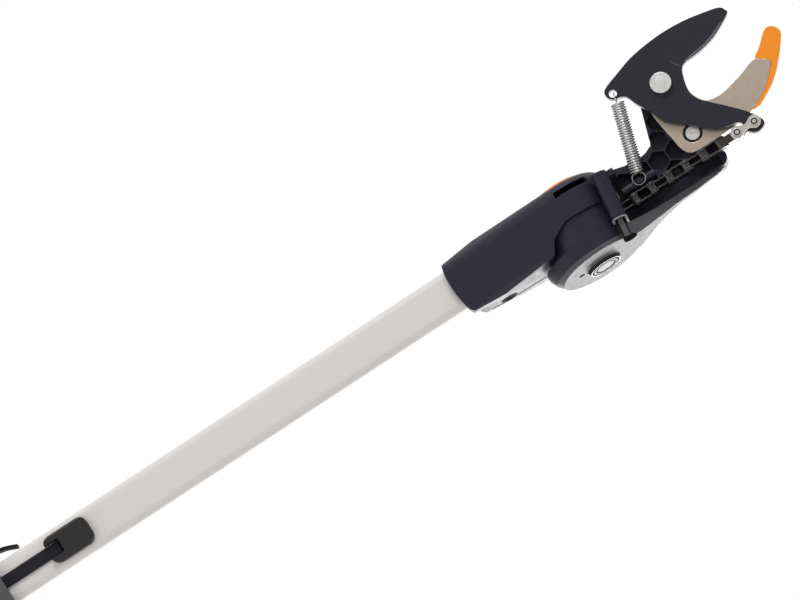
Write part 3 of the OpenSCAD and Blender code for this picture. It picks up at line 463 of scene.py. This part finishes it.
# Strap in the tube: in through the guide's slot, up the front wall and round the spool
STRAP_T = 1.3 * MM
OUT_Y = -12.1 * MM
IN_Y = -8.45 * MM
SLOT_Z = (0.2 * MM, 9.2 * MM, 20.2 * MM)
FOOT_Y = -8.05 * MM
FOOT_Z = 1367.5 * MM
FOOT_RUN = 30 * MM
WIND_R = 20.5 * MM
WIND_ARC = math.radians(192)
WIND_STEPS = 32
low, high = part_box("strap_inner")
foot_drop = SWIVEL_Z - FOOT_Z
touch = math.atan2(-FOOT_Y, foot_drop) + math.acos(WIND_R / math.hypot(FOOT_Y, foot_drop))
places = [(y, low[2] + z) for y, z in zip((OUT_Y, IN_Y, IN_Y), SLOT_Z)]
places += [(FOOT_Y, FOOT_Z - FOOT_RUN), (FOOT_Y, FOOT_Z)]
places += [(-WIND_R * math.sin(a), SWIVEL_Z - WIND_R * math.cos(a))
    for a in between(touch, touch + WIND_ARC, WIND_STEPS)]
path = [Vector((0, y, z)) for y, z in places]
web = ribbon("strap_inner_web", "strap_inner", path, RIGHT, high[0] - low[0], STRAP_T)
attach(web, "pole")

# Loose tail of webbing at the left of the grip
TAIL_T = 2 * MM
TAIL_X = -21 * MM
TAIL_Z = 986 * MM
TAIL_STEPS = 6
TAIL_KNOTS = ((-1.05, -14), (-1.1, -4), (-1.1, 3), (0.3, 10.5), (3.5, 18.4))


def smooth_path(knots, steps):
    """Smooth curve through each of its knots."""
    path = []
    for i in range(len(knots) - 1):
        a, b, c, d = (knots[min(max(k, 0), len(knots) - 1)] for k in range(i - 1, i + 3))
        bend = 2 * a - 5 * b + 4 * c - d
        twist = 3 * b - a - 3 * c + d
        for t in between(0, 1, steps)[:-1]:
            path.append(0.5 * (2 * b + (c - a) * t + bend * t ** 2 + twist * t ** 3))
    return path + [knots[-1]]


low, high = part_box("grip_tail")
tail_at = Vector((TAIL_X, (low[1] + high[1]) / 2, TAIL_Z))
path = smooth_path([tail_at + Vector((x, 0, z)) * MM for x, z in TAIL_KNOTS], TAIL_STEPS)
web = ribbon("grip_tail_web", "grip_tail", path, BACK, high[1] - low[1], TAIL_T)
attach(web, "grip")

# Grip sleeve: soft skin with ribs all round
RIB_PITCH = 8 * MM
RIB_DEPTH = 1.1 * MM
RIB_STEPS = 12
RIB_SHARPNESS = 3
SLEEVE_T = 2.5 * MM
SLEEVE_R = 12.5 * MM
CORNER_STEPS = 8
sleeve_low, sleeve_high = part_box("grip_sleeve")


def sleeve_ring(cut, z):
    """Rounded rectangle at one height, as far inside the sleeve's outside as the cut."""
    r = SLEEVE_R - cut
    half_x = (sleeve_high[0] - sleeve_low[0]) / 2 - cut - r
    half_y = (sleeve_high[1] - sleeve_low[1]) / 2 - cut - r
    ring = []
    for quarter, (sx, sy) in enumerate(((1, 1), (-1, 1), (-1, -1), (1, -1))):
        for a in between(quarter * math.pi / 2, (quarter + 1) * math.pi / 2, CORNER_STEPS):
            ring.append((sx * half_x + r * math.cos(a), sy * half_y + r * math.sin(a), z))
    return ring


ribs = round((sleeve_high[2] - sleeve_low[2]) / RIB_PITCH)
rings = [sleeve_ring(SLEEVE_T, sleeve_low[2])]
for i, z in enumerate(between(sleeve_low[2], sleeve_high[2], RIB_STEPS * ribs)):
    wave = 0.5 + 0.5 * math.cos(math.tau * i / RIB_STEPS)
    rings.append(sleeve_ring(RIB_DEPTH * wave ** RIB_SHARPNESS, z))
rings.append(sleeve_ring(SLEEVE_T, sleeve_high[2]))
sleeve = lofted("sleeve_skin", rings, "soft_grip")
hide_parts("grip_sleeve")
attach(sleeve, "grip")

# Round trim
WASHER_STEPS = 4


def turned(name, profile, origin, axis, look, steps=48):
    """Skin turned about an axis from a closed profile of (radius, along) points."""
    across = axis.orthogonal().normalized()
    n = len(profile)
    points = []
    for out in circle(Vector(), across, axis.cross(across), 1, steps):
        points += [origin + out * r + axis * h for r, h in profile]
    faces = [(i * n + k, i * n + (k + 1) % n, (i + 1) % steps * n + (k + 1) % n, (i + 1) % steps * n + k)
        for i in range(steps) for k in range(n)]
    return crisp(add_mesh(name, points, faces, look))


def stud(name, profile, origin, axis, look, steps=48):
    """Solid round form from rows of (radius, along)."""
    across = axis.orthogonal().normalized()
    rings = [circle(origin + axis * h, across, axis.cross(across), r, steps) for r, h in profile]
    return crisp(lofted(name, rings, look))


def washer(inner, outer, thick):
    """Profile of a flat ring with rounded edges."""
    r = thick / 2
    half_turn = between(-math.pi / 2, math.pi / 2, WASHER_STEPS)
    outside = [(outer - r + r * math.cos(a), r * math.sin(a)) for a in half_turn]
    inside = [(inner + r - r * math.cos(a), -r * math.sin(a)) for a in half_turn]
    return outside + inside


# Head of the pivot: a crisp rim, a fine groove with a dark steel ring in it as painted shade, and a slightly
# domed face
CAP_RIM = ((-0.04, -1.9), (-0.04, -0.4), (0.4, 0.06), (0.9, 0.06), (1.05, -0.35), (1.55, -0.35), (1.8, -0.04))
CAP_DOME = ((0.5, 0.05), (0.15, 0.08))
GROOVE_IN = 1.5 * MM
GROOVE_OUT = 1.1 * MM
GROOVE_T = 0.2 * MM
GROOVE_DEEP = 0.3 * MM
low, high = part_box("pivot_bolt")
head_r = (high[0] - low[0]) / 2
pivot_at = Vector(((low[0] + high[0]) / 2, low[1], (low[2] + high[2]) / 2))
profile = [(head_r - inset * MM, h * MM) for inset, h in CAP_RIM]
profile += [(head_r * share, h * MM) for share, h in CAP_DOME]
cap = stud("pivot_cap", profile, pivot_at, FRONT, "bright_steel")
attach(cap, "head")
# Dark steel ring in the cap's groove: painted shade
groove_shade_ring = turned("pivot_groove_painted_shade", washer(head_r - GROOVE_IN, head_r - GROOVE_OUT, GROOVE_T),
    pivot_at - FRONT * GROOVE_DEEP, FRONT, "chain_steel")
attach(groove_shade_ring, "head")

# Swivel bolt: a matt black skirt of its collar that paints the shade on its front-facing side, a pale rim as
# a painted highlight, a black ring in the gap as painted shade, and a raised ring on its face
BOLT_R = 9.5 * MM
COLLAR_IN = 10 * MM
COLLAR_RIM = 10.9 * MM
COLLAR_H = 2.8 * MM
SKIN = 0.06 * MM
SKIRT_ARC = 0.27 * math.pi
SKIRT_STEPS = 8
SKIRT_IN = 0.3 * MM
SKIRT_SUNK = 0.2 * MM
GAP_W = 0.7 * MM
RING_OUT = 0.8 * MM
RING_IN = 2.2 * MM
BOLT_TRIM_T = 0.3 * MM
cover_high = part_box("drum_cover")[1]
bolt_at = Vector((cover_high[0] - COLLAR_H, 0, SWIVEL_Z))
skirt_r = COLLAR_H - SKIN
skirt = [(COLLAR_RIM + COLLAR_H + skirt_r * math.cos(a), COLLAR_H + skirt_r * math.sin(a))
    for a in between(math.pi, math.pi + SKIRT_ARC, SKIRT_STEPS)]
skirt_in = COLLAR_RIM - SKIRT_IN
skirt += [(skirt[-1][0], -SKIRT_SUNK), (skirt_in, -SKIRT_SUNK), (skirt_in, COLLAR_H)]
# The skirt's matt black is painted shade on the collar's front-facing side
bolt_trim = [turned("collar_skirt", skirt, bolt_at, RIGHT, "painted_shade_matt_black")]
for name, inner, outer, look in (
        # Pale ring on the collar's edge: a painted highlight
        ("collar_rim", COLLAR_IN, COLLAR_RIM, "pale_metal"),
        # Black ring in the gap between bolt and collar: painted shade
        ("bolt_gap", BOLT_R - GAP_W, COLLAR_IN, "black_and_painted_shade"),
        ("bolt_ring", BOLT_R - RING_IN, BOLT_R - RING_OUT, "bolt_face")):
    bolt_trim.append(turned(name, washer(inner, outer, BOLT_TRIM_T), bolt_at + RIGHT * COLLAR_H, RIGHT, look))
for piece in bolt_trim:
    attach(piece, "head")

# Painted shade: a black disc at the foot of the dimple in the disc, where the hole is in shade
DIMPLE_R = 2.05 * MM
DIMPLE_AT = Vector((0, -1.9, -15.6)) * MM
DIMPLE_SHADE_ROWS = ((0, -0.75), (0, -0.1), (0.2, -0.05))
profile = [(DIMPLE_R - inset * MM, h * MM) for inset, h in DIMPLE_SHADE_ROWS]
dimple_shade_disc = stud("dimple_painted_shade", profile, bolt_at + DIMPLE_AT, RIGHT, "black_and_painted_shade")
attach(dimple_shade_disc, "head")

# Lock: pale worn edge at the end of its barrel, black strips on the pin's flanks that paint the shade of its
# round sides, and a shoe on the pin
BARREL_LEAN = math.radians(8)
BARREL_R = 5 * MM
BARREL_END = 16 * MM
PIN_R = 2.6 * MM
SHOE_AT = 29.6 * MM
SECTOR_STEPS = 24
barrel_at = from_swivel(9, -26.8, 24.6)
barrel_axis = Vector((math.cos(BARREL_LEAN), 0, -math.sin(BARREL_LEAN)))
barrel_rise = Vector((math.sin(BARREL_LEAN), 0, math.cos(BARREL_LEAN)))


def sector(name, turns, radii, along, look):
    """Part of a tube about the barrel's axis; a turn of 0 faces the front."""
    corners = [(radii[0], along[0]), (radii[1], along[0]), (radii[1], along[1]), (radii[0], along[1])]
    rings = []
    for a in between(*turns, SECTOR_STEPS):
        out = math.sin(a) * barrel_rise + math.cos(a) * FRONT
        rings.append([barrel_at + out * r + barrel_axis * h for r, h in corners])
    return crisp(lofted(name, rings, look))


# Turns of the pin's flanks, where black strips paint the shade of its round sides
FLANK_FROM = math.radians(42)
FLANK_TO = math.radians(100)
LEG_FROM = math.radians(62)
LEG_TO = math.radians(118)
LIP_RADII = (BARREL_R - 0.9 * MM, BARREL_R + 0.08 * MM)
LIP_ALONG = (BARREL_END - 0.1 * MM, BARREL_END + 0.45 * MM)
LEG_RADII = (BARREL_R - 1.1 * MM, BARREL_R)
FLANK_RADII = (PIN_R - 0.3 * MM, PIN_R + 0.05 * MM)
FLANK_ALONG = (BARREL_END + 0.6 * MM, SHOE_AT)
worn = sector("barrel_lip", (-FLANK_TO, FLANK_TO), LIP_RADII, LIP_ALONG, "pale_metal")
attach(worn, "head")
for side_name, sign, reach in (("low", -1, 1.6 * MM), ("high", 1, 4 * MM)):
    leg = sector("barrel_leg_" + side_name, (sign * LEG_FROM, sign * LEG_TO), LEG_RADII,
        (BARREL_END, BARREL_END + reach), "pale_metal")
    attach(leg, "head")
    # Black strips on the pin's flanks: painted shade on its round sides
    pin_side_shade = sector("pin_shade_strip_" + side_name, (sign * FLANK_FROM, sign * FLANK_TO), FLANK_RADII, FLANK_ALONG,
        "black_and_painted_shade")
    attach(pin_side_shade, "lock")

# Shoe of the lock pin, as rows of height on the pin, half length and half depth in millimetres
SHOE_SIDES = 20
SHOE_ROWS = (
    (-3.4, 0.9, 1.3),
    (-2.9, 1.6, 2.3),
    (-1.6, 1.95, 2.9),
    (1.0, 1.95, 2.9),
    (3.0, 1.6, 2.4),
    (4.8, 1.1, 1.7),
    (5.5, 0.6, 1.0),
)
shoe_at = barrel_at + barrel_axis * SHOE_AT
rings = [circle(shoe_at + barrel_rise * h * MM, barrel_axis * half_x, FRONT * half_y, MM, SHOE_SIDES)
    for h, half_x, half_y in SHOE_ROWS]
shoe = lofted("lock_shoe", rings, "black_and_painted_shade")
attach(shoe, "lock")

# Drive link: two waisted plates with rolled edges, black rings on the pins that paint the shade of their
# bores, and a dark steel bush between the plates that also stands in for the shade between them
LINK_R = 4.3 * MM
WAIST = 1.95 * MM
BUSH_R = 4.1 * MM
PLATE_T = 1 * MM
PLATE_ROLL = 0.28 * MM
PLATE_ROWS = ((PLATE_ROLL, 0), (0, PLATE_ROLL), (0, PLATE_T - PLATE_ROLL), (PLATE_ROLL, PLATE_T))
PIN_SHADE_RING = (1.25 * MM, 2.1 * MM, 0.3 * MM)
PIN_SHADE_RING_SUNK = 0.08 * MM
LOBE_STEPS = 24
WAIST_STEPS = 10


def waisted(radius, long, waist, inset):
    """Outline of a link with two round ends and a waist, as (across, along) from its lower pin."""
    half = long / 2
    fillet = (half ** 2 + waist ** 2 - radius ** 2) / (2 * (radius - waist))
    deep = fillet + waist
    t = math.atan2(deep, half)
    r = radius - inset
    f = fillet + inset
    low_lobe = between(t, math.tau - t, LOBE_STEPS)
    high_lobe = between(math.pi + t, 3 * math.pi - t, LOBE_STEPS)[1:]
    waist_up = between(t, math.pi - t, WAIST_STEPS)[1:]
    waist_down = between(math.pi - t, t, WAIST_STEPS)[1:-1]
    outline = [(r * math.sin(a), r * math.cos(a)) for a in low_lobe]
    outline += [(f * math.sin(a) - deep, half - f * math.cos(a)) for a in waist_up]
    outline += [(r * math.sin(a), long + r * math.cos(a)) for a in high_lobe]
    outline += [(deep - f * math.sin(a), half - f * math.cos(a)) for a in waist_down]
    return outline


link_low, link_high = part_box("end_link_plates")
link_at = Vector(((link_low[0] + link_high[0]) / 2, 0, link_low[2] + LINK_R))
link_long = link_high[2] - link_low[2] - 2 * LINK_R
plates = []
for name, y in (("drive_link_front", link_low[1]), ("drive_link_back", link_high[1] - PLATE_T)):
    rings = []
    for inset, h in PLATE_ROWS:
        outline = waisted(LINK_R, link_long, WAIST, inset)
        rings.append([link_at + Vector((x, y + h, z)) for x, z in outline])
    plates.append(crisp(lofted(name, rings, "link_steel")))
    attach(plates[-1], "chain")
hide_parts("end_link_plates")
pins_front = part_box("end_link_pins")[0][1]
# Black rings on the pins: painted shade of their bores
for name, z in (("link_ring_low", 0), ("link_ring_high", link_long)):
    ring_at = link_at + Vector((0, pins_front + PIN_SHADE_RING_SUNK, z))
    ring = turned(name, washer(*PIN_SHADE_RING), ring_at, FRONT, "black_and_painted_shade")
    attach(ring, "chain")
# Dark steel bush between the plates; its dark colour also paints the shade between them
profile = [(BUSH_R, -link_low[1] - PLATE_T), (BUSH_R, -link_high[1] + PLATE_T)]
bush_painting_shade = stud("link_bush_and_shade", profile, link_at, FRONT, "chain_steel")
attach(bush_painting_shade, "chain")

# Ground edge along the inside of the blade and the line where the grinding stops
EDGE_W = 1.1 * MM
EDGE_INSET = 0.45 * MM
STOP_W = 0.35 * MM
PROUD = 0.04 * MM
SUNK = 0.2 * MM
TAPER_FROM = 0.4
TAPER_SPARE = 0.2
EDGE_PLACES = ((-11.6, 53.2), (-10.2, 50.6), (-6.9, 43.5), (-5.0, 37), (-4.1, 30.5), (-3.6, 24.5),
    (-3.3, 20.6))
STOP_PLACES = ((-9, 12.7), (-6.5, 14.1), (-4, 15.5), (-2, 16.5))
blade_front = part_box("blade")[0][1]
blade_pivot = from_swivel(-37.7, 0, 91.7)


def strip_on_blade(name, places, width, inset):
    """Thin strip on the front of the blade, to the right of a row of places about its pivot."""
    row = [blade_pivot + Vector((x, 0, z)) * MM for x, z in places]
    rings = []
    for i, at in enumerate(row):
        taper = math.sin(math.pi * (i + TAPER_FROM) / (len(row) - TAPER_SPARE)) ** 0.5
        out = heading(row, i).cross(FRONT).normalized()
        near = at + out * inset
        near.y = blade_front
        far = near + out * width * taper
        rings.append([near + FRONT * PROUD, far + FRONT * PROUD, far - FRONT * SUNK, near - FRONT * SUNK])
    obj = crisp(lofted(name, rings, "ground_edge"))
    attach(obj, "blade")


strip_on_blade("ground_edge", EDGE_PLACES, EDGE_W, EDGE_INSET)
strip_on_blade("grind_stop", STOP_PLACES, STOP_W, 0)

# Thinning tail of the hook's orange tip, down the outer edge of the hook
TIP_EDGE = ((5.1, 136.5), (6.1, 134.5), (7.0, 132.6), (7.6, 131.0), (7.9, 130.1))
TIP_SUNK = 0.15 * MM
TIP_BEHIND = 0.04 * MM
TIP_W = 0.97 * MM
TIP_END_W = 0.1 * MM
TIP_END_D = 0.4 * MM
tip_low, tip_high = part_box("hook_tip")
tip_d = tip_high[1] - tip_low[1] - 2 * TIP_BEHIND
row = [from_swivel(x, 0, z) + BACK * (tip_low[1] + TIP_BEHIND) for x, z in TIP_EDGE]
rings = []
for i, at in enumerate(row):
    fade = i / (len(row) - 1)
    out = FRONT.cross(heading(row, i)).normalized()
    deep = BACK * (tip_d * (1 - fade) + TIP_END_D * fade)
    near = at - out * TIP_SUNK
    far = at + out * (TIP_W * (1 - fade) + TIP_END_W * fade)
    rings.append([near, far, far + deep, near + deep])
tip_tail = crisp(lofted("hook_tip_tail", rings, "tip_orange"))
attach(tip_tail, "head")

# Pale floor
FLOOR_Z = -82 * MM
FLOOR_HALF = 4
floor_mesh = bpy.data.meshes.new("floor")
floor_corners = [(sx * FLOOR_HALF, sy * FLOOR_HALF, FLOOR_Z)
    for sx, sy in ((-1, -1), (1, -1), (1, 1), (-1, 1))]
floor_mesh.from_pydata(floor_corners, [], [(0, 1, 2, 3)])
floor = bpy.data.objects.new("floor", floor_mesh)
scene.collection.objects.link(floor)
floor_mesh.materials.append(looks["floor"])

# Studio: white backdrop, surroundings that are brighter behind, and a bright panel behind on the right
WHITE = (1, 1, 1, 1)
LEVEL_Y = (-0.6, 0.7)
LEVEL = (0.42, 1.1)
PANEL_SIDE = (0.276, 0.961, 0)
PANEL_EDGE = (0.72, 0.95)
PANEL_LEVEL = 3.8
PANEL_ON_MATT = 0.1
world = bpy.data.worlds.new("studio")
world.use_nodes = True
scene.world = world
tree = world.node_tree


def world_range(value, source, target, interpolation="LINEAR"):
    """One range of a value mapped to another."""
    limits = tree.nodes.new("ShaderNodeMapRange")
    limits.interpolation_type = interpolation
    for key, number in zip(("From Min", "From Max", "To Min", "To Max"), (*source, *target)):
        limits.inputs[key].default_value = number
    tree.links.new(value, limits.inputs["Value"])
    return limits.outputs["Result"]


def world_math(operation, a, b):
    made = tree.nodes.new("ShaderNodeMath")
    made.operation = operation
    tree.links.new(a, made.inputs[0])
    tree.links.new(b, made.inputs[1])
    return made.outputs["Value"]


place = tree.nodes.new("ShaderNodeTexCoord").outputs["Generated"]
rays = tree.nodes.new("ShaderNodeLightPath")
split = tree.nodes.new("ShaderNodeSeparateXYZ")
tree.links.new(place, split.inputs["Vector"])
level = world_range(split.outputs["Y"], LEVEL_Y, LEVEL)
facing = tree.nodes.new("ShaderNodeVectorMath")
facing.operation = "DOT_PRODUCT"
facing.inputs[1].default_value = PANEL_SIDE
tree.links.new(place, facing.inputs[0])
panel = world_range(facing.outputs["Value"], PANEL_EDGE, (0, PANEL_LEVEL), "SMOOTHSTEP")
# The panel shows in reflections, and lights matt surfaces only a little
on_matt = world_range(rays.outputs["Is Diffuse Ray"], (0, 1), (1, PANEL_ON_MATT))
strength = world_math("ADD", level, world_math("MULTIPLY", panel, on_matt))
surround = tree.nodes["Background"]
surround.inputs["Color"].default_value = WHITE
tree.links.new(strength, surround.inputs["Strength"])
backdrop = tree.nodes.new("ShaderNodeBackground")
backdrop.inputs["Color"].default_value = WHITE
backdrop.inputs["Strength"].default_value = 1.0
choose = tree.nodes.new("ShaderNodeMixShader")
tree.links.new(rays.outputs["Is Camera Ray"], choose.inputs["Fac"])
tree.links.new(surround.outputs["Background"], choose.inputs[1])
tree.links.new(backdrop.outputs["Background"], choose.inputs[2])
tree.links.new(choose.outputs["Shader"], tree.nodes["World Output"].inputs["Surface"])


# Soft lights
def area_light(name, place, aim, size, power):
    data = bpy.data.lights.new(name, "AREA")
    data.shape = "RECTANGLE"
    data.size = size
    data.size_y = size
    data.energy = power
    lamp = bpy.data.objects.new(name, data)
    lamp.location = place
    lamp.rotation_euler = (Vector(aim) - Vector(place)).to_track_quat("-Z", "Y").to_euler()
    scene.collection.objects.link(lamp)


area_light("key", place=(-2.5, -1.8, 2.3), aim=(0, 0, 1.4), size=1.2, power=46)
area_light("fill", place=(2.0, -1.8, 1.2), aim=(0, 0, 1.3), size=1.4, power=8)
